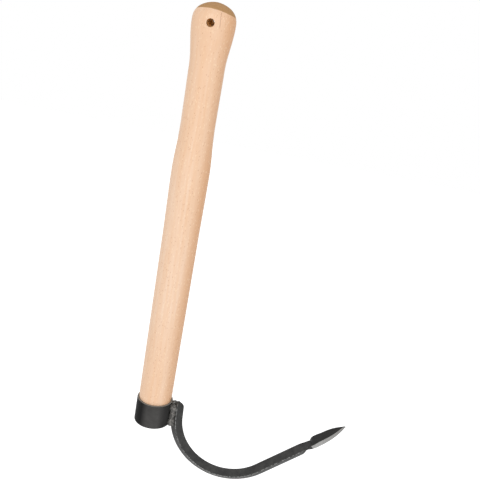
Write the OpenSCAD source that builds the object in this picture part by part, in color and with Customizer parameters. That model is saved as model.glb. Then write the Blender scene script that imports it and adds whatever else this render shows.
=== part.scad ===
// Hand cultivator with one hooked tine: a turned wooden handle, a steel collar on its foot, and a square bar
// welded to the collar corner on, bent into a hook and forged into a leaf-shaped point.
// The handle's axis is Z with the knob up, the tine's plane is XZ with the hook towards +X, and the origin is the
// middle of the hanging hole. Millimetres.

/* [Handle] */
// Length of the handle, from the crown of the knob to the foot
handle_l = 399; // [300:1:600]
// Diameter of the knob at its widest place
knob_d = 37.5; // [34:0.1:46]
// Height of the crown above the knob's widest place
crown_h = 17.4; // [14:0.2:22]
// Diameter of the neck under the knob
neck_d = 30.8; // [26:0.1:33]
// How far below the hanging hole the neck begins
neck_at = 38.5; // [30:0.5:50]
// Diameter of the waist, the thinnest place of the grip
waist_d = 30.3; // [26:0.1:33]
// How far below the hanging hole the waist lies
waist_at = 88; // [70:1:100]
// Diameter of the swell, the thickest place of the grip
swell_d = 34.2; // [31:0.1:42]
// How far below the hanging hole the swell lies
swell_at = 131; // [115:1:150]
// Diameter of the shaft under the swell
shaft_d = 33; // [30:0.1:40]
// How far below the hanging hole the shaft begins
shaft_at = 196; // [170:1:220]
// Diameter of the shaft just above the collar
shoulder_d = 32; // [31.2:0.1:38]
// Length over which the shaft narrows into the collar
shoulder_l = 5; // [2:0.5:12]
// Chamfer round the foot
foot_chamfer = 1.2; // [0.4:0.1:3]

/* [Hanging hole] */
// Diameter of the hanging hole
hole_d = 6.8; // [4:0.2:12]
// Chamfer at both mouths of the hanging hole
hole_chamfer = 0.3; // [0.2:0.1:1.5]
// How far the middle of the hanging hole lies above the knob's widest place
hole_rise = 2; // [0:0.5:5]
// Slope of the hanging hole, down towards the front, in degrees
hole_slope = 4; // [0:0.5:10]

/* [Collar] */
// Outer diameter of the collar
collar_d = 35; // [34:0.5:45]
// Wall of the collar
collar_wall = 2; // [1.5:0.1:3]
// Height of the collar
collar_h = 25; // [20:1:40]
// Rounding of the collar's upper edges
collar_top_r = 0.5; // [0.2:0.1:0.7]
// Rounding of the collar's lower outer edge
collar_foot_r = 0.8; // [0.4:0.1:1.4]
// How far the handle's foot stands back inside the collar
foot_recess = 0.5; // [0.5:0.5:5]

/* [Tine] */
// Side of the square bar
bar = 8.5; // [6:0.5:12]
// Cut off each corner of the bar
bar_edge = 0.1; // [0.1:0.05:1]
// How far the bar's end stands above the collar
head_rise = 0.5; // [0.5:0.1:6]
// Length of straight bar beside the collar
shank_l = 16.5; // [8:0.1:30]
// Lean of the straight bar away from the handle, in degrees
shank_lean = 2.3; // [0:0.1:10]
// Radius of the hook, at the middle of the bar
bend_r = 53.6; // [35:0.2:90]
// Turn of the hook, in degrees
bend_turn = 129.1; // [90:0.1:150]
// Length of straight bar from the hook to the leaf
arm_l = 56.9; // [30:0.1:120]

/* [Leaf] */
// Length of the leaf
leaf_l = 42.5; // [30:0.5:70]
// Width of the leaf
leaf_w = 20.2; // [14:0.2:34]
// Thickness of the leaf at its base
leaf_t = 3.4; // [2:0.1:5]
// How far the leaf's middle lies off the middle of the bar, towards the inside of the hook
leaf_rise = 0.95; // [0.5:0.05:1.2]
// Turn of the leaf against the arm, towards the inside of the hook, in degrees
leaf_turn = 1.3; // [-5:0.1:10]
// Width of the bevel ground along each edge of the leaf
bevel_w = 2.4; // [1:0.1:4]
// Length before the leaf over which the bar is hammered down
neck_l = 12; // [4:0.5:16]
// How far the bar's inner corner runs on over the leaf before it dies out
rib_l = 6; // [3:0.5:12]

/* [Welds] */
// Leg of the welds beside the bar, measured up the bar's face
weld_leg = 4.6; // [2.5:0.1:5.5]
// Share of the leg that is left between two ripples
weld_dip = 0.62; // [0.4:0.02:0.9]
// Ripples in each weld
ripples = 3; // [2:1:5]
// Length of each weld, down the collar
weld_l = 21; // [12:0.5:21.5]
// Radius of the small weld across the top of the joint
top_weld_r = 2.6; // [1.5:0.1:4]

/* [Nail] */
// Diameter of the nail that holds the handle in the collar
nail_d = 3; // [2:0.5:4]
// Length of the nail under its head
nail_l = 16; // [10:1:20]
// Diameter of the nail's head
nail_head_d = 6.5; // [5:0.5:9]
// Height of the nail's head above the collar
nail_head_h = 1.2; // [0.8:0.1:2]

/* [Hidden] */
$fn = 96;

// Clearance of a press fit, on the radius
fit_gap = 0.02;
// Clearance between the bar's inner edge and the collar, at the collar's rim
touch_gap = 0.03;

knob_r = knob_d / 2;
hole_r = hole_d / 2;
collar_r = collar_d / 2;
bore_r = collar_r - collar_wall;
foot_z = crown_h - hole_rise - handle_l;
collar_foot_z = foot_z - foot_recess;
collar_top_z = collar_foot_z + collar_h;

function ease(t) = t * t * (3 - 2 * t);
function mix(a, b, t) = a + (b - a) * t;
function part(x, from, to) = min(max((x - from) / (to - from), 0), 1);

// The handle's outline: a crown with full sides and a low top, and eased curves that join the named diameters
crown_side = 1.15;
crown_top = 0.735;
crown_steps = 18;
crown = [for (i = [0 : crown_steps - 1]) let (a = 90 * i / crown_steps)
    [knob_r * pow(sin(a), crown_side), crown_h * pow(cos(a), crown_top) - hole_rise]];
function knob_at(z) = knob_r * pow(1 - pow(max(z + hole_rise, 0) / crown_h, 2 / crown_top), crown_side / 2);
curve_steps = 12;
function eased(d0, z0, d1, z1) =
    [for (i = [0 : curve_steps - 1]) let (t = i / curve_steps) [mix(d0, d1, ease(t)) / 2, mix(z0, z1, t)]];
tenon_r = bore_r - fit_gap;
outline = concat(
    crown,
    eased(knob_d, -hole_rise, neck_d, -neck_at),
    eased(neck_d, -neck_at, waist_d, -waist_at),
    eased(waist_d, -waist_at, swell_d, -swell_at),
    eased(swell_d, -swell_at, shaft_d, -shaft_at),
    [[shaft_d / 2, -shaft_at]],
    [[shoulder_d / 2, collar_top_z + shoulder_l]],
    [[tenon_r, collar_top_z]],
    [[tenon_r, foot_z + foot_chamfer]],
    [[tenon_r - foot_chamfer, foot_z]],
    [[0, foot_z]]
);

// The tine's path in its own plane: straight down beside the collar, round the hook, then straight to the point
corner_reach = bar / sqrt(2) - bar_edge;
head_at = [collar_r + corner_reach + touch_gap - head_rise * tan(shank_lean), collar_top_z + head_rise];
heading_in = shank_lean - 90;
heading_out = heading_in + bend_turn;
function along(p, heading, d) = p + d * [cos(heading), sin(heading)];
bend_l = bend_r * bend_turn * PI / 180;
bend_in = along(head_at, heading_in, shank_l);
bend_centre = along(bend_in, heading_in + 90, bend_r);
bend_out = along(bend_centre, heading_out - 90, bend_r);
leaf_from = shank_l + bend_l + arm_l;
leaf_in = along(bend_out, heading_out, arm_l);
tine_l = leaf_from + leaf_l;
function heading_at(d) =
    heading_in + bend_turn * part(d, shank_l, shank_l + bend_l) + leaf_turn * part(d, leaf_from - neck_l, leaf_from);
function path_at(d) =
    d < shank_l ? along(head_at, heading_in, d)
    : d < shank_l + bend_l ? along(bend_centre, heading_at(d) - 90, bend_r)
    : d < leaf_from ? along(bend_out, heading_out, d - shank_l - bend_l)
    : along(leaf_in, heading_out + leaf_turn, d - leaf_from);

// The leaf's outline at s from its base, and its two faces, which come closer towards the point
widest = 0.3;
point_power = 3;
tip_share = 0.3;
base_share = 0.35;
leaf_edge = 0.35;
least_bevel = 0.3;
function leaf_half(s) =
    let (u = part(s, 0, leaf_l))
    u < widest
        ? mix(corner_reach, leaf_w / 2, 1 - pow(1 - u / widest, 2))
        : leaf_w / 2 * (1 - pow(part(u, widest, 1), point_power));
function leaf_thick(s) = leaf_t * mix(1, tip_share, pow(part(s, 0, leaf_l), 2));
function leaf_low(s) = leaf_rise - leaf_thick(s) / 2;
function leaf_top(s) = leaf_low(s) + leaf_thick(s) * mix(base_share, 1, ease(part(s, 0, rib_l)));

// The bar's inner and outer corners are hammered down at the neck and die out on the leaf
neck_share = 0.7;
function inner_corner(s) =
    corner_reach * mix(1, neck_share, ease(part(s, -neck_l, neck_l))) * (1 - ease(part(s, rib_l * 0.6, rib_l * 1.3)));
function outer_corner(s) =
    corner_reach * mix(1, neck_share, ease(part(s, -neck_l, neck_l))) * (1 - ease(part(s, -neck_l, rib_l * 0.6)));

// Half of a section as seven points [towards the inside of the hook, across the tine], from the inner corner round
// to the outer one: bar_half is the square bar, and leaf_section the leaf with the bar's corners dying out on it
function bar_half(k) =
    let (d = corner_reach * k, c = bar_edge * k, near = [c, d], below = [-c, d])
    [[d, c], mix([d, c], near, 0.45), near, below, mix(below, [-d, c], 0.12), mix(below, [-d, c], 0.55), [-d, c]];
function leaf_section(s) =
    let (
        b = leaf_half(s),
        top = leaf_top(s),
        low = leaf_low(s),
        ground = ease(part(s, rib_l * 0.5, rib_l * 3)),
        flat = b - min(mix(least_bevel, bevel_w, ground), b * 0.6),
        edge = mix(top - min(least_bevel, top - low) / 2, min(low + leaf_edge, top), ground),
        inner = max(inner_corner(s) - top, 0),
        outer = max(outer_corner(s) + low, 0),
        c = min(bar_edge, flat * 0.3)
    )
    [
        [top + inner, c],
        [top, min(c * 2 + inner, flat * 0.9)],
        [top, flat],
        [edge, b],
        [low, b * 0.96],
        [low, min(c * 2 + outer, b * 0.8)],
        [low - outer, c]
    ];
head_share = 0.45;
head_round = 5;
function domed(d) = mix(head_share, 1, sqrt(1 - pow(1 - part(d, 0, head_round), 2)));
function half_section(d) =
    let (s = d - leaf_from, k = ease(part(s, -neck_l, 0)), a = bar_half(domed(d)))
    k == 0 ? a : let (b = leaf_section(s)) [for (i = [0 : 6]) mix(a[i], b[i], k)];
function section(d) =
    let (half = half_section(d))
    concat(half, [for (i = [6 : -1 : 0]) [half[i][0], -half[i][1]]]);

// The bar's square, with its corners cut off
bar_corners = let (half = bar_half(1)) [
    for (i = [0, 2, 3, 6]) half[i],
    for (i = [6, 3, 2, 0]) [half[i][0], -half[i][1]]
];

// Where along the tine its sections stand: close together at the end, in the hook and in the leaf
head_steps = 5;
bend_steps = 56;
leaf_steps = 40;
tip_gap = 0.2;
stations = concat(
    [for (i = [0 : head_steps]) head_round * i / head_steps],
    [for (i = [0 : bend_steps]) shank_l + bend_l * i / bend_steps],
    [for (i = [0 : leaf_steps]) mix(leaf_from - neck_l, tine_l - tip_gap, i / leaf_steps)]
);

// Sections of the welds at height z, which fill the groove between the collar and the bar's inner face
weld_gap = 0.04;
weld_root = 1.2;
weld_bulge = 0.9;
weld_points = 6;
weld_steps = 36;
tack_z = collar_top_z;
weld_top_z = tack_z - top_weld_r - weld_gap;
function bar_tilt(z) = z > bend_in[1] ? -shank_lean : asin((bend_centre[1] - z) / bend_r);
function bar_x(z) = z > bend_in[1]
    ? head_at[0] + (head_at[1] - z) * tan(shank_lean)
    : bend_centre[0] - bend_r * cos(bar_tilt(z));
function face_point(z, t) =
    let (k = 1 / cos(bar_tilt(z)))
    [bar_x(z) + (t - bar) * k / sqrt(2) - weld_gap, t / sqrt(2) + weld_gap];
function collar_point(y) = let (r = collar_r + weld_gap) [sqrt(r * r - y * y), y];
function weld_section(z, leg) =
    let (a = collar_point(leg), b = face_point(z, leg), out = [b[1] - a[1], a[0] - b[0]] / norm(b - a))
    [
        collar_point(weld_root / 2),
        for (i = [0 : weld_points]) let (t = i / weld_points)
            mix(a, b, t) + [abs(out[0]), abs(out[1])] * weld_bulge * 4 * t * (1 - t),
        face_point(z, weld_root)
    ];
function ripple(t) = mix(weld_dip, 1, pow(abs(sin(180 * ripples * t)), 0.6)) * sqrt(min(1, min(t, 1 - t) * 12 + 0.15));

module in_tine_plane() {
    rotate([90, 0, 0]) children();
}

module loft(rings) {
    n = len(rings[0]);
    last = (len(rings) - 1) * n;
    faces = concat(
        [[for (i = [0 : n - 1]) i]],
        [[for (i = [0 : n - 1]) last + n - 1 - i]],
        [for (j = [0 : len(rings) - 2]) for (i = [0 : n - 1]) let (a = j * n + i, b = j * n + (i + 1) % n)
            each [[a, b + n, b], [a, a + n, b + n]]]
    );
    polyhedron(points = [for (ring = rings) each ring], faces = faces);
}

module tine() {
    color("dimgray") in_tine_plane() loft([
        for (d = stations) let (at = path_at(d), inward = heading_at(d) + 90)
            [for (p = section(d)) let (q = along(at, inward, p[0])) [q[0], q[1], p[1]]]
    ]);
}

// The bar as the welds meet it: its straight end, and the ring that the hook is a part of
module bar_beside_collar() {
    in_tine_plane() {
        translate([head_at[0], head_at[1], 0]) rotate([0, 0, heading_in]) rotate([0, 90, 0])
            linear_extrude(shank_l) polygon(bar_corners);
        translate([bend_centre[0], bend_centre[1], 0]) rotate_extrude() translate([bend_r, 0]) polygon(bar_corners);
    }
}

module nail_bore(r) {
    translate([0, 0, nail_z]) rotate([-90, 0, 0]) cylinder(r = r, h = collar_r + 1);
}

nail_z = collar_foot_z + collar_h / 2;

module handle() {
    color("burlywood") difference() {
        rotate_extrude() polygon(outline);
        rotate([90 + hole_slope, 0, 0]) {
            cylinder(r = hole_r, h = knob_d + 4, center = true);
            for (side = [-1, 1]) {
                surface_r = knob_at(-side * knob_r * sin(hole_slope));
                mouth = sqrt(surface_r * surface_r - hole_r * hole_r) / cos(hole_slope);
                mirror([0, 0, side < 0 ? 1 : 0]) translate([0, 0, mouth - hole_chamfer])
                    cylinder(r1 = hole_r, r2 = hole_r + hole_chamfer + 1, h = hole_chamfer + 1);
            }
        }
        translate([0, collar_r - nail_l, nail_z]) rotate([-90, 0, 0]) cylinder(d = nail_d, h = nail_l);
    }
}

module collar() {
    color("dimgray") difference() {
        rotate_extrude() {
            polygon([
                [bore_r, collar_foot_z],
                [collar_r - collar_foot_r, collar_foot_z],
                for (a = [-75 : 15 : 0]) [
                    collar_r - collar_foot_r + collar_foot_r * cos(a),
                    collar_foot_z + collar_foot_r + collar_foot_r * sin(a)
                ],
                for (a = [0 : 22.5 : 90]) [
                    collar_r - collar_top_r + collar_top_r * cos(a),
                    collar_top_z - collar_top_r + collar_top_r * sin(a)
                ],
                [bore_r, collar_top_z]
            ]);
        }
        nail_bore(nail_d / 2);
    }
}

module nail() {
    head_r = (nail_head_d * nail_head_d / 4 + nail_head_h * nail_head_h) / (2 * nail_head_h);
    color("silver") {
        translate([0, collar_r - nail_l, nail_z]) rotate([-90, 0, 0]) cylinder(d = nail_d - 2 * fit_gap, h = nail_l);
        difference() {
            intersection() {
                translate([0, collar_r + nail_head_h - head_r, nail_z]) sphere(head_r);
                translate([0, 0, nail_z]) rotate([-90, 0, 0]) cylinder(d = nail_head_d, h = collar_r + nail_head_h);
            }
            translate([0, 0, collar_foot_z]) cylinder(r = collar_r, h = collar_h);
        }
    }
}

module weld_far() {
    color("gray") loft([
        for (i = [0 : weld_steps]) let (t = i / weld_steps, z = weld_top_z - weld_l * t)
            [for (p = weld_section(z, weld_leg * ripple(t))) [p[0], p[1], z]]
    ]);
}

module weld_near() {
    mirror([0, 1, 0]) weld_far();
}

module weld_top() {
    color("gray") difference() {
        translate([collar_r + top_weld_r / 2, 0, tack_z]) sphere(top_weld_r);
        translate([0, 0, collar_foot_z]) cylinder(r = collar_r, h = collar_h);
        bar_beside_collar();
    }
}

handle();
collar();
tine();
weld_near();
weld_far();
weld_top();
nail();
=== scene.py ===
import math

import bmesh
import bpy
from mathutils import Matrix, Vector, noise


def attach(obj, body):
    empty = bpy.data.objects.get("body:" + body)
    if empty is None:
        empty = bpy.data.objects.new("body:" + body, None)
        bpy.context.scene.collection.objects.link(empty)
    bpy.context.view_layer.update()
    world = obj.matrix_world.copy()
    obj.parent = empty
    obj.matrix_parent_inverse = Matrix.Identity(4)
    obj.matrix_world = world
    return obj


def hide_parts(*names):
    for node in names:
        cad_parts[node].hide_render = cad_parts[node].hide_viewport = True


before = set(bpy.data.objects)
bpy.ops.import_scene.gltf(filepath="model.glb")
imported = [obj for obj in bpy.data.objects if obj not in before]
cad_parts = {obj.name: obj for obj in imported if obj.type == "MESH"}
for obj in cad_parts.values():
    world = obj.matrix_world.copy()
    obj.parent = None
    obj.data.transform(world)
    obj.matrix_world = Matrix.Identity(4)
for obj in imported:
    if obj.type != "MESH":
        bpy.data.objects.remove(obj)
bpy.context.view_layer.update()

MM = 0.001


# The camera, as solved from the photograph's perspective: the handle leans in the picture because the camera is
# rolled

CAMERA_AT = Vector((0.09571, -0.62893, 0.01494))
CAMERA_YAW = math.radians(-3.778)
CAMERA_PITCH = math.radians(-17.445)
CAMERA_ROLL = math.radians(10.355)
SENSOR = 36.0
FOCAL_PIXELS = 730.0
PICTURE_SIDE = 480.0


def make_camera():
    cos_pitch = math.cos(CAMERA_PITCH)
    ahead = Vector((math.sin(CAMERA_YAW) * cos_pitch, math.cos(CAMERA_YAW) * cos_pitch, math.sin(CAMERA_PITCH)))
    level_right = Vector((math.cos(CAMERA_YAW), -math.sin(CAMERA_YAW), 0.0))
    level_up = level_right.cross(ahead)
    right = level_right * math.cos(CAMERA_ROLL) + level_up * math.sin(CAMERA_ROLL)
    up = level_up * math.cos(CAMERA_ROLL) - level_right * math.sin(CAMERA_ROLL)
    data = bpy.data.cameras.new("camera")
    data.sensor_width = SENSOR
    data.lens = SENSOR * FOCAL_PIXELS / PICTURE_SIDE
    data.clip_start = 0.01
    data.clip_end = 50.0
    camera = bpy.data.objects.new("camera", data)
    turn = Matrix((right, up, -ahead)).transposed().to_4x4()
    camera.matrix_world = Matrix.Translation(CAMERA_AT) @ turn
    bpy.context.collection.objects.link(camera)
    bpy.context.scene.camera = camera


# Node helpers

class Nodes:
    """Builds a material's node tree with short calls. A socket given to a call is linked, anything else is set."""

    def __init__(self, name):
        self.material = bpy.data.materials.new(name)
        self.material.use_nodes = True
        self.tree = self.material.node_tree
        self.tree.nodes.clear()
        self.place = None

    def add(self, kind, values=None, **settings):
        node = self.tree.nodes.new(kind)
        for key, value in settings.items():
            setattr(node, key, value)
        for key, value in (values or {}).items():
            self.put(node.inputs[key], value)
        return node

    def put(self, socket, value):
        if isinstance(value, bpy.types.NodeSocket):
            self.tree.links.new(value, socket)
        else:
            socket.default_value = value

    def position(self):
        if self.place is None:
            self.place = self.add("ShaderNodeTexCoord").outputs["Object"]
        return self.place

    def split(self):
        """The X, Y and Z of the place on the object."""
        return tuple(self.add("ShaderNodeSeparateXYZ", {0: self.position()}).outputs)

    def face_value(self, name):
        return self.add("ShaderNodeAttribute", attribute_name=name).outputs["Fac"]

    def math(self, operation, a, b=0.0):
        return self.add("ShaderNodeMath", {0: a, 1: b}, operation=operation).outputs[0]

    def stretched(self, scale, turn=(0.0, 0.0, 0.0)):
        values = {"Vector": self.position(), "Scale": scale, "Rotation": turn}
        return self.add("ShaderNodeMapping", values).outputs[0]

    def noise(self, scale, detail, roughness=0.5, at=None):
        values = {"Vector": at or self.position(), "Scale": scale, "Detail": detail, "Roughness": roughness}
        return self.add("ShaderNodeTexNoise", values).outputs["Fac"]

    def dots(self, at, reach, soft, keep):
        """Scattered soft spots: reach is their size, and keep the share of the cells that have one."""
        cells = self.add("ShaderNodeTexVoronoi", {"Vector": at, "Scale": 1.0})
        spot = self.ramp(cells.outputs["Distance"], reach, reach - soft)
        chosen = self.add("ShaderNodeSeparateColor", {0: cells.outputs["Color"]}).outputs[0]
        return self.math("MULTIPLY", spot, self.math("LESS_THAN", chosen, keep))

    def ramp(self, value, low, high, to_low=0.0, to_high=1.0):
        values = {0: value, 1: low, 2: high, 3: to_low, 4: to_high}
        return self.add("ShaderNodeMapRange", values, clamp=True).outputs[0]

    def mix(self, share, a, b):
        return self.add("ShaderNodeMix", {0: share, 6: a, 7: b}, data_type="RGBA").outputs[2]

    def bump(self, height, distance, strength):
        return self.add("ShaderNodeBump", {"Height": height, "Distance": distance, "Strength": strength}).outputs[0]

    def finish(self, values):
        shader = self.add("ShaderNodeBsdfPrincipled", values)
        output = self.tree.nodes.new("ShaderNodeOutputMaterial")
        self.tree.links.new(shader.outputs[0], output.inputs[0])
        return self.material


def linear(red, green, blue):
    """A colour as seen on a screen, 0 to 255, as the shader wants it."""
    def one(value):
        value /= 255.0
        return value / 12.92 if value <= 0.04045 else ((value + 0.055) / 1.055) ** 2.4
    return (one(red), one(green), one(blue), 1.0)


# Materials

# The end grain starts at a plane across the crown, bowed down at the sides
CROWN_AXIS = (0.06, 0.0731, 0.9957)
CROWN_PLANE = 8.7 * MM
CROWN_BOW = 0.0075 / MM
# A short drying crack beside the hanging hole, along the grain
CRACK_X = 7.8 * MM
CRACK_Z = 2.4 * MM
# The middle of the handle, left palest: towards both ends the wood is painted darker, a painted shade
LIT_MIDDLE_Z = -200.0 * MM


def wood_material():
    """Beech: darker heartwood on one side, which is also painted shade along that limb, painted shade towards both
    ends, streaks, pores and flecks, and end grain on the crown and the foot.
    """
    n = Nodes("beech")
    x, y, z = n.split()
    broad = n.noise(1.0, 3.0, 0.55, n.stretched((60.0, 60.0, 6.0)))
    streaks = n.noise(1.0, 4.0, 0.6, n.stretched((420.0, 420.0, 16.0)))
    fine = n.noise(1.0, 3.0, 0.6, n.stretched((1900.0, 1900.0, 90.0)))
    side = n.mix(n.ramp(broad, 0.3, 0.7), linear(231, 195, 164), linear(238, 209, 185))
    # Painted shade: the darker heartwood colour lies along the +X limb and also stands in for the shade on that
    # side
    heart_and_shade = n.math("ADD", x, n.ramp(broad, 0.3, 0.7, -1.0 * MM, 1.0 * MM))
    side = n.mix(n.ramp(heart_and_shade, 8.5 * MM, 17.0 * MM), side, linear(212, 155, 104))
    # Painted shade: the wood is darker towards both ends of the handle and palest in its middle
    off_lit_middle = n.math("ABSOLUTE", n.math("SUBTRACT", z, LIT_MIDDLE_Z))
    side = n.mix(n.ramp(off_lit_middle, 60.0 * MM, 170.0 * MM, 0.0, 0.4), side, linear(226, 182, 144))
    side = n.mix(n.ramp(streaks, 0.38, 0.68, 0.0, 0.6), side, linear(228, 185, 148))
    side = n.mix(n.ramp(fine, 0.5, 0.8, 0.0, 0.2), side, linear(214, 164, 126))
    light_dashes = n.dots(n.stretched((950.0, 950.0, 300.0)), 0.36, 0.16, 0.35)
    side = n.mix(n.math("MULTIPLY", light_dashes, 0.5), side, linear(250, 226, 194))
    flecks = n.dots(n.stretched((1250.0, 1250.0, 420.0), (0.0, 0.0, 0.7)), 0.34, 0.16, 0.16)
    side = n.mix(n.math("MULTIPLY", flecks, 0.7), side, linear(186, 134, 98))

    along_cap = n.add("ShaderNodeVectorMath", {0: n.position(), 1: CROWN_AXIS}, operation="DOT_PRODUCT")
    bow = n.math("MULTIPLY", n.math("MULTIPLY", x, x), CROWN_BOW)
    edge = n.math("ADD", along_cap.outputs["Value"], bow)
    edge = n.math("ADD", edge, n.ramp(n.noise(260.0, 2.0), 0.0, 1.0, -0.35 * MM, 0.35 * MM))
    cap = n.ramp(edge, CROWN_PLANE - 0.15 * MM, CROWN_PLANE + 0.15 * MM)
    pores = n.noise(1500.0, 3.0, 0.7)
    rays = n.noise(1.0, 3.0, 0.6, n.stretched((120.0, 900.0, 120.0)))
    end = n.mix(n.ramp(pores, 0.3, 0.7), linear(192, 151, 106), linear(166, 124, 76))
    end = n.mix(n.ramp(rays, 0.4, 0.75, 0.0, 0.5), end, linear(150, 108, 60))
    colour = n.mix(cap, side, end)
    foot = n.ramp(z, FOOT_Z * MM + 1.0 * MM, FOOT_Z * MM + 0.6 * MM)
    colour = n.mix(foot, colour, end)

    wander = n.ramp(n.noise(200.0, 2.0), 0.0, 1.0, -1.2 * MM, 1.2 * MM)
    beside = n.math("SUBTRACT", x, n.math("ADD", wander, CRACK_X))
    line = n.ramp(n.math("ABSOLUTE", beside), 0.05 * MM, 0.22 * MM, 1.0, 0.0)
    reach = n.math("ABSOLUTE", n.math("SUBTRACT", z, CRACK_Z))
    line = n.math("MULTIPLY", line, n.ramp(reach, 5.0 * MM, 7.5 * MM, 1.0, 0.0))
    line = n.math("MULTIPLY", line, n.math("LESS_THAN", y, 0.0))
    colour = n.mix(line, colour, linear(160, 112, 92))

    bore = n.face_value("bore")
    mouth = n.ramp(n.math("ABSOLUTE", y), 13.0 * MM, 17.5 * MM)
    colour = n.mix(bore, colour, n.mix(mouth, linear(250, 210, 146), linear(140, 92, 54)))

    height = n.math("ADD", n.math("MULTIPLY", streaks, 0.6), n.math("MULTIPLY", fine, 0.4))
    height = n.math("SUBTRACT", height, n.math("MULTIPLY", flecks, 0.25))
    dull = n.math("ADD", n.math("MAXIMUM", cap, n.math("MULTIPLY", bore, 2.0)), n.math("MULTIPLY", fine, 0.25))
    return n.finish({
        "Base Color": colour,
        "Roughness": n.ramp(dull, 0.0, 2.0, 0.44, 1.0),
        "Specular IOR Level": 0.4,
        "Normal": n.bump(height, 0.06 * MM, 0.35),
    })


def lacquer_material():
    """Dark satin lacquer with a painted reflection: lighter over the front and the back, dark at the sides, with
    the bare steel of the tube's cut end.
    """
    n = Nodes("dark_lacquered_tube")
    cloud = n.noise(90.0, 4.0, 0.6)
    grit = n.noise(1400.0, 2.0, 0.6)
    x = n.split()[0]
    # Painted reflection: the lacquer is painted lighter over the front and the back and dark at the sides, as a
    # soft sheen would show
    painted_sheen = n.math("MULTIPLY", n.ramp(x, -9.0 * MM, -3.2 * MM), n.ramp(x, 13.0 * MM, 8.0 * MM, 0.35, 1.0))
    wear_and_sheen = n.mix(n.ramp(cloud, 0.3, 0.7), linear(66, 65, 64), linear(78, 77, 76))
    colour = n.mix(painted_sheen, linear(34, 34, 34), wear_and_sheen)
    height = n.math("ADD", grit, n.math("MULTIPLY", cloud, 2.0))
    return n.finish({
        "Base Color": n.mix(n.face_value("cut"), colour, linear(128, 124, 118)),
        "Metallic": 0.0,
        "Roughness": n.ramp(cloud, 0.3, 0.7, 0.36, 0.46),
        "Normal": n.bump(height, 0.03 * MM, 0.4),
        "Specular IOR Level": 0.015,
    })


def forged_material():
    """Forged steel in thin dark lacquer. The mesh's own value is 0 where it is plain, up to 1 where it is rubbed or
    ground bright, and below 0 on the leaf's flats, which are darker. On the bar's rounded near ridge the rubbed
    brightness is also a painted edge highlight."""
    n = Nodes("forged_steel")
    scale = n.noise(170.0, 4.0, 0.6)
    pits = n.noise(620.0, 3.0, 0.6)
    grit = n.noise(2400.0, 2.0, 0.5)
    dark = n.mix(n.ramp(scale, 0.35, 0.65), linear(57, 57, 57), linear(69, 69, 68))
    dark = n.mix(n.ramp(pits, 0.6, 0.75, 0.0, 0.5), dark, linear(26, 26, 26))
    scratches = n.noise(1.0, 3.0, 0.6, n.stretched((2600.0, 260.0, 2600.0)))
    bright = n.mix(n.ramp(scratches, 0.35, 0.65), linear(136, 136, 135), linear(166, 166, 164))
    ground = n.face_value("ground")
    dark = n.mix(n.ramp(ground, -1.0, 0.0, 0.8, 0.0), dark, linear(18, 18, 16))
    # Rubbed and ground brightness; on the bar's rounded near ridge it is also a painted edge highlight
    wear_and_sheen = n.ramp(n.math("ADD", ground, n.ramp(pits, 0.0, 1.0, -0.3, 0.3)), 0.42, 0.58)
    height = n.math("ADD", n.math("MULTIPLY", scale, 0.6), n.math("MULTIPLY", pits, 0.4))
    height = n.math("ADD", height, n.math("MULTIPLY", grit, 0.1))
    height = n.math("MULTIPLY", height, n.ramp(wear_and_sheen, 0.0, 1.0, 1.0, 0.12))
    return n.finish({
        "Base Color": n.mix(wear_and_sheen, dark, bright),
        "Metallic": n.ramp(wear_and_sheen, 0.0, 1.0, 0.08, 0.85),
        "Roughness": n.ramp(wear_and_sheen, 0.0, 1.0, 0.42, 0.46),
        "Specular IOR Level": 0.05,
        "Normal": n.bump(height, 0.35 * MM, 0.55),
    })


def weld_material():
    """Weld metal: grainy, mottled from nearly black to dull grey."""
    n = Nodes("weld_bead")
    cloud = n.noise(520.0, 4.0, 0.65)
    colour = n.mix(n.ramp(cloud, 0.42, 0.62), linear(48, 48, 46), linear(120, 117, 113))
    return n.finish({
        "Base Color": colour,
        "Metallic": 0.2,
        "Roughness": 0.45,
        "Normal": n.bump(cloud, 0.5 * MM, 0.7),
    })


def nail_material():
    n = Nodes("nail_steel")
    cloud = n.noise(700.0, 3.0, 0.6)
    colour = n.mix(n.ramp(cloud, 0.3, 0.7), linear(120, 120, 122), linear(158, 158, 160))
    return n.finish({
        "Base Color": colour,
        "Metallic": 0.9,
        "Roughness": 0.38,
        "Normal": n.bump(cloud, 0.1 * MM, 0.5),
    })


# Sizes in millimetres, as in the part's source. Only the knob is a hair thinner and the tine's tip a hair shorter,
# so that both stay inside the box of the solids' faceted meshes.

KNOB_R = 18.72
CROWN_H = 17.4
CROWN_SIDE = 1.15
CROWN_TOP = 0.735
HOLE_RISE = 2.0
CROWN_Z = CROWN_H - HOLE_RISE
HANDLE_L = 399.0
FOOT_Z = CROWN_Z - HANDLE_L
COLLAR_R = 17.5
COLLAR_WALL = 2.0
BORE_R = COLLAR_R - COLLAR_WALL
COLLAR_FOOT = FOOT_Z - 0.5
COLLAR_TOP = COLLAR_FOOT + 25.0
COLLAR_TOP_R = 0.5
COLLAR_FOOT_R = 0.8
GRIP = [(-HOLE_RISE, KNOB_R), (-38.5, 15.4), (-88.0, 15.15), (-131.0, 17.1), (-196.0, 16.5)]
SHOULDER = (COLLAR_TOP + 5.0, 16.0)
TENON_R = BORE_R - 0.02
FOOT_CHAMFER = 1.2
HOLE_R = 3.4
HOLE_CHAMFER = 0.3
HOLE_SLOPE = math.radians(4.0)

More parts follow.
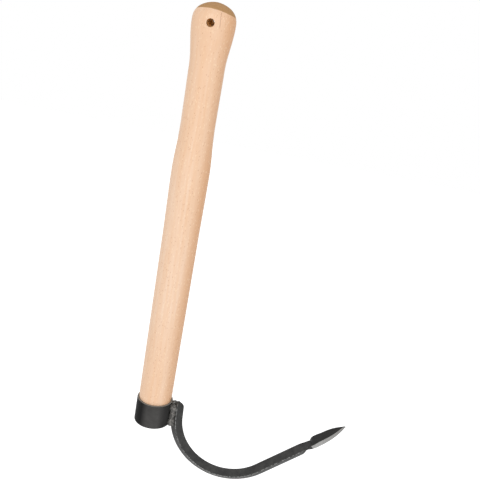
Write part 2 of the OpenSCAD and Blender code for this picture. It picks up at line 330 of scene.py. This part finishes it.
BAR = 8.5
BAR_EDGE = 0.1
CORNER = BAR / math.sqrt(2.0) - BAR_EDGE
ROUNDING = 0.12
SIDE_ROUNDING = 0.4
HEAD_RISE = 0.5
HEAD_ROUND = 5.0
HEAD_SHARE = 0.45
HEAD_CUT = 0.7
SHANK_L = 16.5
SHANK_LEAN = 2.3
BEND_R = 53.6
BEND_TURN = 129.1
ARM_L = 56.9
LEAF_L = 42.5
LEAF_W = 20.2
LEAF_T = 3.4
LEAF_RISE = 0.95
LEAF_TURN = math.radians(1.3)
BEVEL_W = 2.4
NECK_L = 12.0
RIB_L = 6.0


def ease(t):
    return t * t * (3.0 - 2.0 * t)


def mix(a, b, t):
    return a + (b - a) * t


def part(x, start, end):
    return min(max((x - start) / (end - start), 0.0), 1.0)


def make_piece(name, verts, faces, material, smooth_angle=30.0):
    """A mesh object from points in millimetres, with no loose points and all faces turned outwards."""
    mesh = bpy.data.meshes.new(name)
    mesh.from_pydata([Vector(v) * MM for v in verts], [], faces)
    tidy = bmesh.new()
    tidy.from_mesh(mesh)
    loose = [v for v in tidy.verts if not v.link_faces]
    bmesh.ops.delete(tidy, geom=loose, context="VERTS")
    bmesh.ops.recalc_face_normals(tidy, faces=tidy.faces)
    tidy.to_mesh(mesh)
    tidy.free()
    mesh.shade_smooth()
    mesh.set_sharp_from_angle(angle=math.radians(smooth_angle))
    mesh.materials.append(material)
    piece = bpy.data.objects.new(name, mesh)
    bpy.context.collection.objects.link(piece)
    return piece


def mark_faces(piece, name, values):
    """Gives each face a value that the piece's material reads."""
    piece.data.attributes.new(name, "FLOAT", "FACE").data.foreach_set("value", values)


def ring_faces(rings, count, closed=False):
    """Faces between rings of count points each. A closed form also joins its last ring to the first."""
    faces = []
    for j in range(rings if closed else rings - 1):
        low, high = j * count, (j + 1) % rings * count
        faces += [(low + i, low + (i + 1) % count, high + (i + 1) % count, high + i) for i in range(count)]
    return faces


# The handle: a turned form with the hanging hole let into its own net of faces

def handle_radius(z):
    if z >= -HOLE_RISE:
        height = min((z + HOLE_RISE) / CROWN_H, 1.0)
        return KNOB_R * (1.0 - height ** (2.0 / CROWN_TOP)) ** (CROWN_SIDE / 2.0)
    for (z0, r0), (z1, r1) in zip(GRIP, GRIP[1:]):
        if z >= z1:
            return mix(r0, r1, ease((z0 - z) / (z0 - z1)))
    shaft_z, shaft_r = GRIP[-1]
    shoulder_z, shoulder_r = SHOULDER
    if z >= shoulder_z:
        return mix(shaft_r, shoulder_r, (shaft_z - z) / (shaft_z - shoulder_z))
    if z >= COLLAR_TOP:
        t = (shoulder_z - z) / (shoulder_z - COLLAR_TOP)
        return mix(shoulder_r, TENON_R, 1.0 - math.cos(t * math.pi / 2.0))
    return TENON_R


# The net: its columns, the step of its rows, and the patch of it that each mouth of the hanging hole takes up
COLUMNS = 144
ROW_STEP = 1.2
PATCH_COLUMNS = 7
PATCH_ROWS = 5
ROWS_ABOVE = 6
CROWN_ROWS = 14
CROWN_STEP = 4.5
FINE_DOWN_TO = -200.0
COARSE_STEPS = 5.0
BORE_STEPS = 12


def handle_rows():
    """Heights of the net's rows: the crown, even steps with one row at the hole's middle, then the long shaft."""
    turns = [math.radians(CROWN_STEP * i) for i in range(1, CROWN_ROWS)]
    rows = [CROWN_H * math.cos(turn) ** CROWN_TOP - HOLE_RISE for turn in turns]
    z = ROWS_ABOVE * ROW_STEP
    while z > FINE_DOWN_TO:
        rows.append(z)
        z -= ROW_STEP
    while z > SHOULDER[0] + 3.0:
        rows.append(z)
        z -= COARSE_STEPS * ROW_STEP
    rows += [mix(SHOULDER[0], COLLAR_TOP, i / 6.0) for i in range(7)]
    rows += [COLLAR_TOP - 8.0, FOOT_Z + FOOT_CHAMFER]
    return rows


def mouth_point(side, turn, radius, sink):
    """Where a line beside the bore's axis meets the handle's surface, then sunk along it. side is -1 towards -Y."""
    x, rise = radius * math.cos(turn), radius * math.sin(turn)
    z = 0.0
    reach = 0.0
    for _ in range(12):
        y = side * math.sqrt(handle_radius(z) ** 2 - x * x)
        reach = (y + rise * math.sin(HOLE_SLOPE)) / math.cos(HOLE_SLOPE)
        z = rise * math.cos(HOLE_SLOPE) + reach * math.sin(HOLE_SLOPE)
    reach -= side * sink
    return (x, reach * math.cos(HOLE_SLOPE) - rise * math.sin(HOLE_SLOPE),
            rise * math.cos(HOLE_SLOPE) + reach * math.sin(HOLE_SLOPE))


def make_handle(material):
    rows = handle_rows()
    middle = CROWN_ROWS - 1 + ROWS_ABOVE
    verts = []
    faces = []

    def ring_point(radius, column, z):
        angle = 2.0 * math.pi * column / COLUMNS
        return (radius * math.sin(angle), -radius * math.cos(angle), z)

    def join(outer, inner):
        count = len(outer)
        faces.extend((outer[i], outer[(i + 1) % count], inner[(i + 1) % count], inner[i]) for i in range(count))

    for z in rows:
        verts += [ring_point(handle_radius(z), column, z) for column in range(COLUMNS)]
    in_patch = {(row, column % COLUMNS)
                for row in range(middle - PATCH_ROWS, middle + PATCH_ROWS)
                for centre in (0, COLUMNS // 2)
                for column in range(centre - PATCH_COLUMNS, centre + PATCH_COLUMNS)}
    for row in range(len(rows) - 1):
        for column in range(COLUMNS):
            if (row, column) not in in_patch:
                a = row * COLUMNS + column
                b = row * COLUMNS + (column + 1) % COLUMNS
                faces.append((a, b, b + COLUMNS, a + COLUMNS))

    pole = len(verts)
    verts.append((0.0, 0.0, CROWN_Z))
    faces += [(pole, (column + 1) % COLUMNS, column) for column in range(COLUMNS)]
    last = (len(rows) - 1) * COLUMNS
    for radius in (TENON_R - FOOT_CHAMFER, TENON_R * 0.6, TENON_R * 0.25):
        start = len(verts)
        verts += [ring_point(radius, column, FOOT_Z) for column in range(COLUMNS)]
        join(range(last, last + COLUMNS), range(start, start + COLUMNS))
        last = start
    faces.append(tuple(last + c for c in range(COLUMNS)))

    def mouth(centre, side):
        """Rings from the patch's border to the bore, and the turn of each of their points round its axis."""
        border = [(middle - PATCH_ROWS, c) for c in range(-PATCH_COLUMNS, PATCH_COLUMNS)]
        border += [(r, PATCH_COLUMNS) for r in range(middle - PATCH_ROWS, middle + PATCH_ROWS)]
        border += [(middle + PATCH_ROWS, c) for c in range(PATCH_COLUMNS, -PATCH_COLUMNS, -1)]
        border += [(r, -PATCH_COLUMNS) for r in range(middle + PATCH_ROWS, middle - PATCH_ROWS, -1)]
        ids = [r * COLUMNS + (centre + c) % COLUMNS for r, c in border]
        places = [verts[i] for i in ids]
        turns = [math.atan2(z, x) for x, _, z in places]
        outer = ids
        lip = HOLE_R + HOLE_CHAMFER
        rings = ((0.5, lip, 0.0), (1.0, lip, 0.0), (1.0, HOLE_R + 0.1, 0.15), (1.0, HOLE_R, HOLE_CHAMFER))
        for share, radius, sink in rings:
            start = len(verts)
            for place, turn in zip(places, turns):
                x, y, z = mouth_point(side, turn, radius, sink)
                if share < 1.0:
                    x, z = mix(place[0], x, share), mix(place[2], z, share)
                    y = side * math.sqrt(handle_radius(z) ** 2 - x * x)
                verts.append((x, y, z))
            inner = list(range(start, start + len(ids)))
            join(outer, inner)
            outer = inner
        return outer, turns

    near, near_turns = mouth(0, -1.0)
    far, far_turns = mouth(COLUMNS // 2, 1.0)
    matched = [far[min(range(len(far)), key=lambda j: 1.0 - math.cos(far_turns[j] - turn))] for turn in near_turns]
    surface_faces = len(faces)
    outer = near
    for step in range(1, BORE_STEPS):
        start = len(verts)
        t = step / BORE_STEPS
        verts += [tuple(mix(verts[a][k], verts[b][k], t) for k in range(3)) for a, b in zip(near, matched)]
        inner = list(range(start, start + len(near)))
        join(outer, inner)
        outer = inner
    join(outer, matched)
    piece = make_piece("turned_handle", verts, faces, material)
    mark_faces(piece, "bore", [0.0] * surface_faces + [1.0] * (len(faces) - surface_faces))
    return piece


# The collar: a tube with rounded edges, not perfectly even

INNER_EDGE_R = 0.3
INNER_CHAMFER = 0.2
# How far down from the top the lacquer is missing, and how uneven the outside is
BARE_BELOW_TOP = 0.25
COLLAR_UNEVEN = 0.05


def collar_profile():
    """Outline of the tube's wall as (radius, z): up inside, over the top, down outside and round the foot."""
    def arc(radius, z, size, turns):
        return [(radius + size * math.cos(math.radians(a)), z + size * math.sin(math.radians(a))) for a in turns]

    profile = [(BORE_R, COLLAR_TOP - 3.0), (BORE_R, COLLAR_TOP - INNER_EDGE_R)]
    profile += arc(BORE_R + INNER_EDGE_R, COLLAR_TOP - INNER_EDGE_R, INNER_EDGE_R, (150, 120, 90))
    profile += arc(COLLAR_R - COLLAR_TOP_R, COLLAR_TOP - COLLAR_TOP_R, COLLAR_TOP_R, range(90, -1, -18))
    profile += [(COLLAR_R, mix(COLLAR_TOP - 1.2, COLLAR_FOOT + 2.0, i / 10.0)) for i in range(11)]
    profile += arc(COLLAR_R - COLLAR_FOOT_R, COLLAR_FOOT + COLLAR_FOOT_R, COLLAR_FOOT_R, range(0, -91, -15))
    return profile + [
        (BORE_R + INNER_CHAMFER, COLLAR_FOOT),
        (BORE_R, COLLAR_FOOT + INNER_CHAMFER),
        (BORE_R, COLLAR_FOOT + 6.0),
    ]


def make_collar(material):
    profile = collar_profile()
    count = 144
    verts = []
    for radius, z in profile:
        for i in range(count):
            angle = 2.0 * math.pi * i / count
            reach = radius
            if radius > COLLAR_R - 0.1:
                spot = Vector((math.cos(angle) * 2.0, math.sin(angle) * 2.0, z * 0.12))
                reach += COLLAR_UNEVEN * (noise.noise(spot) - 0.5)
            verts.append((reach * math.cos(angle), reach * math.sin(angle), z))
    piece = make_piece("steel_collar", verts, ring_faces(len(profile), count, closed=True), material)
    cut = []
    for (_, z), (_, next_z) in zip(profile, profile[1:] + profile[:1]):
        cut += [1.0 if min(z, next_z) > COLLAR_TOP - BARE_BELOW_TOP else 0.0] * count
    mark_faces(piece, "cut", cut)
    return piece


# The tine: the source's own path and sections, with rounded corners, forged unevenness and ground bevels

HEADING_IN = math.radians(SHANK_LEAN - 90.0)
HEADING_OUT = HEADING_IN + math.radians(BEND_TURN)
BEND_L = BEND_R * math.radians(BEND_TURN)
LEAF_FROM = SHANK_L + BEND_L + ARM_L
TINE_L = LEAF_FROM + LEAF_L
WIDEST = 0.3
POINT_POWER = 3.0
TIP_SHARE = 0.3
LEAF_BASE_SHARE = 0.35
LEAF_EDGE = 0.35
LEAST_BEVEL = 0.3
NECK_SHARE = 0.7
TIP_GAP = 0.23

# The sides of half an outline, from the inner corner round to the outer one: how many faces, and of what kind
SEGMENTS = (
    (1, "corner"), (3, "flat"), (4, "flat"), (1, "bevel"), (1, "bevel"), (1, "flank"), (3, "flat"), (4, "flat"),
    (1, "corner"),
)
# How rubbed each kind is on the bar, and the neck at its end. On the bar the bevel's brightness, along its rounded
# near ridge, is also a painted edge highlight
WEAR_AND_HIGHLIGHT = {"flat": 0.0, "flank": 0.0, "bevel": 0.47, "corner": 0.32}
NECK_WEAR = 0.4
# From where to where, after the leaf's base, the neck's wear fades, the flats darken and the bevels turn bright
FADE = (0.0, 4.0)
DARKEN = (4.0, 7.0)
BRIGHTEN = (3.0, 8.0)
# How deep the hammer's hollows are, on the bar and on the leaf
HOLLOW_BAR = 0.08
HOLLOW_LEAF = 0.04


def along(point, heading, distance):
    return (point[0] + distance * math.cos(heading), point[1] + distance * math.sin(heading))


HEAD_AT = (COLLAR_R + CORNER + 0.03 - HEAD_RISE * math.tan(math.radians(SHANK_LEAN)), COLLAR_TOP + HEAD_RISE)
BEND_IN = along(HEAD_AT, HEADING_IN, SHANK_L)
BEND_CENTRE = along(BEND_IN, HEADING_IN + math.pi / 2.0, BEND_R)
BEND_OUT = along(BEND_CENTRE, HEADING_OUT - math.pi / 2.0, BEND_R)
LEAF_IN = along(BEND_OUT, HEADING_OUT, ARM_L)


def heading_at(d):
    bent = math.radians(BEND_TURN) * part(d, SHANK_L, SHANK_L + BEND_L)
    return HEADING_IN + bent + LEAF_TURN * part(d, LEAF_FROM - NECK_L, LEAF_FROM)


def path_at(d):
    if d < SHANK_L:
        return along(HEAD_AT, HEADING_IN, d)
    if d < SHANK_L + BEND_L:
        return along(BEND_CENTRE, heading_at(d) - math.pi / 2.0, BEND_R)
    if d < LEAF_FROM:
        return along(BEND_OUT, HEADING_OUT, d - SHANK_L - BEND_L)
    return along(LEAF_IN, HEADING_OUT + LEAF_TURN, d - LEAF_FROM)


def leaf_half(s):
    u = part(s, 0.0, LEAF_L)
    if u < WIDEST:
        return mix(CORNER, LEAF_W / 2.0, 1.0 - (1.0 - u / WIDEST) ** 2)
    return LEAF_W / 2.0 * (1.0 - part(u, WIDEST, 1.0) ** POINT_POWER)


def leaf_thick(s):
    return LEAF_T * mix(1.0, TIP_SHARE, part(s, 0.0, LEAF_L) ** 2)


def leaf_low(s):
    return LEAF_RISE - leaf_thick(s) / 2.0


def leaf_top(s):
    return leaf_low(s) + leaf_thick(s) * mix(LEAF_BASE_SHARE, 1.0, ease(part(s, 0.0, RIB_L)))


def kept_corner(s):
    return CORNER * mix(1.0, NECK_SHARE, ease(part(s, -NECK_L, NECK_L)))


def inner_corner(s):
    return kept_corner(s) * (1.0 - ease(part(s, RIB_L * 0.6, RIB_L * 1.3)))


def outer_corner(s):
    return kept_corner(s) * (1.0 - ease(part(s, -NECK_L, RIB_L * 0.6)))


def between(a, b, t):
    return (mix(a[0], b[0], t), mix(a[1], b[1], t))


def bar_half(size):
    """Half of the bar's section as (inwards, across), from its inner corner to the outer one, corners rounded."""
    whole = CORNER + BAR_EDGE
    reach, cut = (whole - ROUNDING) * size, ROUNDING * size
    side_reach, side_cut = (whole - SIDE_ROUNDING) * size, SIDE_ROUNDING * size
    bulge = reach + cut * 0.42
    inner, near, below, outer = (reach, cut), (side_cut, side_reach), (-side_cut, side_reach), (-reach, cut)
    return [(bulge, 0.0), inner, between(inner, near, 0.45), near, (0.0, side_reach + side_cut * 0.42), below,
            between(below, outer, 0.12), between(below, outer, 0.55), outer, (-bulge, 0.0)]


def leaf_section(s):
    """Half of the leaf's section with the same points, on which the bar's inner and outer corners die out."""
    half, top, low = leaf_half(s), leaf_top(s), leaf_low(s)
    ground = ease(part(s, RIB_L * 0.5, RIB_L * 3.0))
    flat = half - min(mix(LEAST_BEVEL, BEVEL_W, ground), half * 0.6)
    edge = mix(top - min(LEAST_BEVEL, top - low) / 2.0, min(low + LEAF_EDGE, top), ground)
    inner = max(inner_corner(s) - top, 0.0)
    outer = max(outer_corner(s) + low, 0.0)
    cut = min(ROUNDING, flat * 0.3)
    ridge = (top, flat)
    rim = (edge, half)
    return [(top + inner + min(inner, cut) * 0.4, 0.0), (top + inner, cut),
            (top, min(cut * 2.0 + inner, flat * 0.9)), ridge, between(ridge, rim, 0.5), rim, (low, half * 0.96),
            (low, min(cut * 2.0 + outer, half * 0.8)), (low - outer, cut),
            (low - outer - min(outer, cut) * 0.4, 0.0)]


def domed(d):
    """The bar's share of its full size at d from its end, which is hammered to a low dome."""
    return mix(HEAD_SHARE, 1.0, math.sqrt(1.0 - (1.0 - part(d, HEAD_CUT, HEAD_ROUND)) ** 2))


def leaf_share(s):
    """How far the section is on its way from bar to leaf."""
    return ease(part(s, -NECK_L, 0.0))


def ring_of(d):
    """The section's whole outline."""
    s = d - LEAF_FROM
    half = bar_half(domed(d))
    if leaf_share(s) > 0.0:
        half = [between(a, b, leaf_share(s)) for a, b in zip(half, leaf_section(s))]
    points = []
    for i, (parts, _) in enumerate(SEGMENTS):
        points += [between(half[i], half[i + 1], step / parts) for step in range(parts)]
    back = [(inwards, -across) for inwards, across in reversed(points[1:])]
    return points + [half[-1]] + back


def shine_of(s):
    """How bright the face after each point of the outline is: 1 ground, 0 plain, -1 dark."""
    if s < 0.0:
        neck = NECK_WEAR * part(s, -NECK_L, 0.0)
        bright = {kind: max(wear, neck) for kind, wear in WEAR_AND_HIGHLIGHT.items()}
    else:
        flat = NECK_WEAR * (1.0 - part(s, *FADE)) - part(s, *DARKEN)
        bevel = part(s, *BRIGHTEN)
        bright = {"flat": flat, "corner": flat, "bevel": bevel, "flank": bevel}
    half = [bright[kind] for parts, kind in SEGMENTS for _ in range(parts)]
    return half + half[::-1]


def tine_stations():
    ends = [mix(HEAD_CUT, HEAD_ROUND, 1.0 - math.cos(math.pi / 2.0 * i / 5.0)) for i in range(5)]
    count = int(LEAF_FROM - HEAD_ROUND - NECK_L)
    body = [mix(HEAD_ROUND, LEAF_FROM - NECK_L, i / count) for i in range(count)]
    leaf = [mix(LEAF_FROM - NECK_L, TINE_L - TIP_GAP, i / 96.0) for i in range(97)]
    return ends + body + leaf


def make_tine(material):
    stations = tine_stations()
    verts = []
    for d in stations:
        at = path_at(d)
        inward = heading_at(d) + math.pi / 2.0
        deepest = mix(HOLLOW_BAR, HOLLOW_LEAF, leaf_share(d - LEAF_FROM))
        for inwards, across in ring_of(d):
            x, z = along(at, inward, inwards)
            spot = Vector((x, -across, z))
            hollow = 0.5 - 0.5 * noise.noise(spot * 0.12) + 0.25 * (0.5 - 0.5 * noise.noise(spot * 0.5))
            length = math.hypot(inwards, across) or 1.0
            shrink = max(1.0 - deepest * hollow / length, 0.9)
            x, z = along(at, inward, inwards * shrink)
            verts.append((x, -across * shrink, z))
    count = len(verts) // len(stations)
    end = tuple(range(count))
    tip = tuple(range(len(verts) - count, len(verts)))
    faces = [end] + ring_faces(len(stations), count) + [tip]
    piece = make_piece("forged_tine", verts, faces, material, 24.0)
    shine = [shine_of(d - LEAF_FROM) for d in stations]
    between_rings = [(a + b) / 2.0 for here, after in zip(shine, shine[1:]) for a, b in zip(here, after)]
    mark_faces(piece, "ground", [0.0] + between_rings + [1.0])
    return piece


# The welds: rippled beads in the grooves between the collar and the bar, and a tack across the top

# Size of each lump of a bead, from the top down
LUMPS = (1.0, 0.6, 1.0)
LUMP_FULLNESS = 0.55
WELD_TOP = COLLAR_TOP - 0.8
WELD_FOOT = COLLAR_FOOT + 0.4
# A bead's middle and its least and greatest radius
BEAD_X = COLLAR_R + 2.3
BEAD_Y = 3.85
BEAD_LEAST = 2.1
BEAD_MOST = 3.7
# The tack's middle and its half sizes
TACK_AT = Vector((COLLAR_R + 1.3, 0.0, COLLAR_TOP - 1.1))
TACK_SIZE = (2.1, 2.7, 1.7)


def make_weld(name, side, material):
    """A bead beside the bar. side is -1 for the one towards -Y, which the photograph shows."""
    rows, count = 84, 30
    verts = []
    for j in range(rows + 1):
        t = j / rows
        z = mix(WELD_TOP, WELD_FOOT, t)
        lump = LUMPS[min(int(len(LUMPS) * t), len(LUMPS) - 1)]
        ripple = lump * abs(math.sin(math.pi * len(LUMPS) * t)) ** LUMP_FULLNESS
        end = math.sqrt(min(min(t, 1.0 - t) * 14.0, 1.0))
        radius = mix(BEAD_LEAST, BEAD_MOST, ripple) * end + 0.05
        sway = 0.25 * math.sin(2.0 * math.pi * t * 1.3 + side)
        for i in range(count):
            angle = 2.0 * math.pi * i / count
            rough = 0.55 * noise.noise(Vector((math.cos(angle) * 1.3, math.sin(angle) * 1.3 + side * 5.0, z * 0.7)))
            rough += 0.1 * math.sin(2.0 * math.pi * z / 1.5 + 2.0 * angle)
            drop = 0.9 * math.sin(angle) * ripple
            x = BEAD_X + sway + (radius + rough) * math.cos(angle)
            y = side * (BEAD_Y + (radius + rough) * math.sin(angle))
            verts.append((x, y, z - max(drop, 0.0)))
    ends = [tuple(range(count)), tuple(range(rows * count, len(verts)))]
    return make_piece(name, verts, ring_faces(rows + 1, count) + ends, material, 60.0)


def make_tack(material):
    rows, count = 16, 28
    pole = Vector((0.0, 0.0, TACK_SIZE[2]))
    verts = [tuple(TACK_AT + pole)]
    faces = []
    for j in range(1, rows):
        polar = math.pi * j / rows
        for i in range(count):
            angle = 2.0 * math.pi * i / count
            way = Vector((math.sin(polar) * math.cos(angle), math.sin(polar) * math.sin(angle), math.cos(polar)))
            lump = 1.0 + 0.18 * noise.noise(way * 1.7 + Vector((4.0, 1.0, 2.0)))
            verts.append(tuple(TACK_AT[k] + TACK_SIZE[k] * lump * way[k] for k in range(3)))
    verts.append(tuple(TACK_AT - pole))
    last = len(verts) - 1
    for i in range(count):
        faces.append((0, 1 + i, 1 + (i + 1) % count))
        faces.append((last, last - count + (i + 1) % count, last - count + i))
    for j in range(rows - 2):
        for i in range(count):
            a, b = 1 + j * count + i, 1 + j * count + (i + 1) % count
            faces.append((a, a + count, b + count, b))
    return make_piece("top_tack", verts, faces, material, 60.0)


# The room: a pale floor far under the hanging tool, a white surround and plain soft lamps

FLOOR_Z = -1.2
FLOOR_REACH = 6.0
WORLD_LIGHT = 0.72
FLOOR_LIFT = 0.6
LAMPS_AIM = Vector((0.0, 0.0, -0.2))


def plainly_seen(tree):
    """1 on what the camera, a mirror or glass sees, 0 on the rays that light the object."""
    path = tree.nodes.new("ShaderNodeLightPath")
    seen = path.outputs["Is Camera Ray"]
    for name in ("Is Glossy Ray", "Is Transmission Ray"):
        either = tree.nodes.new("ShaderNodeMath")
        either.operation = "MAXIMUM"
        tree.links.new(seen, either.inputs[0])
        tree.links.new(path.outputs[name], either.inputs[1])
        seen = either.outputs[0]
    return seen


def make_world():
    world = bpy.data.worlds.new("surround")
    world.use_nodes = True
    tree = world.node_tree
    tree.nodes.clear()
    light = tree.nodes.new("ShaderNodeBackground")
    light.inputs[1].default_value = WORLD_LIGHT
    white = tree.nodes.new("ShaderNodeBackground")
    for background in (light, white):
        background.inputs[0].default_value = (1.0, 1.0, 1.0, 1.0)
    mixer = tree.nodes.new("ShaderNodeMixShader")
    tree.links.new(plainly_seen(tree), mixer.inputs[0])
    tree.links.new(light.outputs[0], mixer.inputs[1])
    tree.links.new(white.outputs[0], mixer.inputs[2])
    output = tree.nodes.new("ShaderNodeOutputWorld")
    tree.links.new(mixer.outputs[0], output.inputs[0])
    bpy.context.scene.world = world


def make_floor():
    """A matt pale floor. What the camera sees of it is lifted to white, so that only a shadow on it would show."""
    mesh = bpy.data.meshes.new("floor")
    corners = [(FLOOR_REACH * x, FLOOR_REACH * y, FLOOR_Z) for x, y in ((-1, -1), (1, -1), (1, 1), (-1, 1))]
    mesh.from_pydata(corners, [], [(0, 1, 2, 3)])
    material = bpy.data.materials.new("pale_floor")
    material.use_nodes = True
    tree = material.node_tree
    tree.nodes.clear()
    matt = tree.nodes.new("ShaderNodeBsdfDiffuse")
    matt.inputs[0].default_value = (0.9, 0.9, 0.9, 1.0)
    lift = tree.nodes.new("ShaderNodeEmission")
    scaled = tree.nodes.new("ShaderNodeMath")
    scaled.operation = "MULTIPLY"
    scaled.inputs[1].default_value = FLOOR_LIFT
    tree.links.new(plainly_seen(tree), scaled.inputs[0])
    tree.links.new(scaled.outputs[0], lift.inputs[1])
    both = tree.nodes.new("ShaderNodeAddShader")
    tree.links.new(matt.outputs[0], both.inputs[0])
    tree.links.new(lift.outputs[0], both.inputs[1])
    output = tree.nodes.new("ShaderNodeOutputMaterial")
    tree.links.new(both.outputs[0], output.inputs[0])
    mesh.materials.append(material)
    floor = bpy.data.objects.new("floor", mesh)
    bpy.context.collection.objects.link(floor)


def make_lamp(name, at, size, watts):
    data = bpy.data.lights.new(name, "AREA")
    data.shape = "SQUARE"
    data.size = size
    data.energy = watts
    lamp = bpy.data.objects.new(name, data)
    lamp.location = at
    lamp.rotation_euler = (LAMPS_AIM - Vector(at)).to_track_quat("-Z", "Y").to_euler()
    bpy.context.collection.objects.link(lamp)


def main():
    make_camera()
    make_world()
    make_floor()
    make_lamp("key", (-0.3, -2.05, 0.7), 1.2, 19.0)
    make_lamp("fill", (1.6, -1.2, -0.1), 1.4, 5.0)

    bead = weld_material()
    pieces = [
        (make_handle(wood_material()), "handle", "handle_wood"),
        (make_collar(lacquer_material()), "collar", "collar_steel"),
        (make_tine(forged_material()), "tine", "bar_steel"),
        (make_weld("weld_bead_near", -1.0, bead), "weld_near", "weld_steel"),
        (make_weld("weld_bead_far", 1.0, bead), "weld_far", "weld_steel"),
        (make_tack(bead), "weld_top", "weld_steel"),
    ]
    for piece, node, slot in pieces:
        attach(piece, "root")
        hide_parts(node)
    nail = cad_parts["nail"]
    nail.data.materials.clear()
    nail.data.materials.append(nail_material())


main()
bpy.context.scene.view_settings.view_transform = "Standard"
